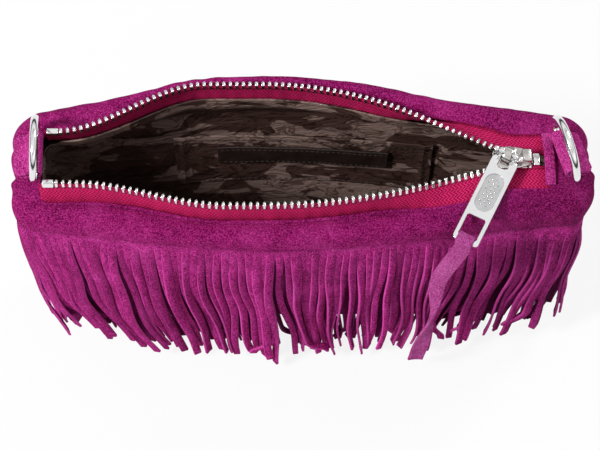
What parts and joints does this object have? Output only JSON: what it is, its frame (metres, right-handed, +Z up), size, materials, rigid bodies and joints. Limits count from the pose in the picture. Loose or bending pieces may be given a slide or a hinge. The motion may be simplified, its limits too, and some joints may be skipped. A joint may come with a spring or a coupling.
{
  "type": "fringed suede zip-top bag",
  "caption": "Fringed suede zip-top bag, open, with a lined compartment, slip pocket, hanging zip pull and strap rings at both ends.",
  "frame": {"origin": "centre of the base panel's flat underside, on the surface the bag stands on", "axes": "+Z up, +X along the zip towards its closed end, -Y towards the fringed front"},
  "size_m": [0.2648, 0.0934, 0.1518],
  "materials": {
    "suede": "napped suede, matte",
    "suede_light": "napped suede, matte, lighter where it is brushed",
    "tape": "woven zip tape",
    "lining": "printed nylon with a slight sheen",
    "label": "smooth dark leather, bare",
    "silver": "polished nickel"
  },
  "bodies": {
    "bag": {"front_panel": "suede", "back_panel": "suede", "left_gusset": "suede", "right_gusset": "suede", "base_panel": "suede", "fringe_inner": "suede", "fringe_outer": "suede", "lining": "lining", "slip_pocket": "lining", "label_patch": "label", "front_zip_tape": "tape", "back_zip_tape": "tape", "front_zip_teeth": "silver", "back_zip_teeth": "silver", "front_top_stop": "silver", "back_top_stop": "silver", "bottom_stop": "silver", "zip_end_strip": "suede_light", "left_ring_tab": "suede_light", "right_ring_tab": "suede_light"},
    "slider": {"slider_body": "silver"},
    "pull": {"pull_pin": "silver", "pull_plate": "silver"},
    "strap": {"pull_strap": "suede_light"},
    "ring_left": {"left_ring": "silver"},
    "ring_right": {"right_ring": "silver"}
  },
  "joints": [
    {"name": "slider_travel", "type": "slide", "parent": "bag", "child": "slider", "axis": [1, 0, 0], "range_m": [-0.188, 0], "deforming": ["front_zip_tape", "back_zip_tape", "front_zip_teeth", "back_zip_teeth", "front_top_stop", "back_top_stop", "pull_strap"]},
    {"name": "pull_swing", "type": "hinge", "parent": "slider", "child": "pull", "pos_m": [0.09, 0, 0.132], "axis": [-0.8829, 0.4695, 0], "range_deg": [0, 130]},
    {"name": "strap_swing", "type": "hinge", "parent": "pull", "child": "strap", "pos_m": [0.0703, -0.037, 0.1235], "axis": [-0.8829, 0.4695, 0], "range_deg": [0, 90]},
    {"name": "left_ring_swing", "type": "hinge", "parent": "bag", "child": "ring_left", "pos_m": [-0.1154, 0.003, 0.1272], "axis": [-0.0523, 0.9986, 0], "range_deg": [-90, 12]},
    {"name": "right_ring_swing", "type": "hinge", "parent": "bag", "child": "ring_right", "pos_m": [0.1141, -0.0005, 0.1337], "axis": [-0.2419, 0.9703, 0], "range_deg": [-12, 90]}
  ]
}
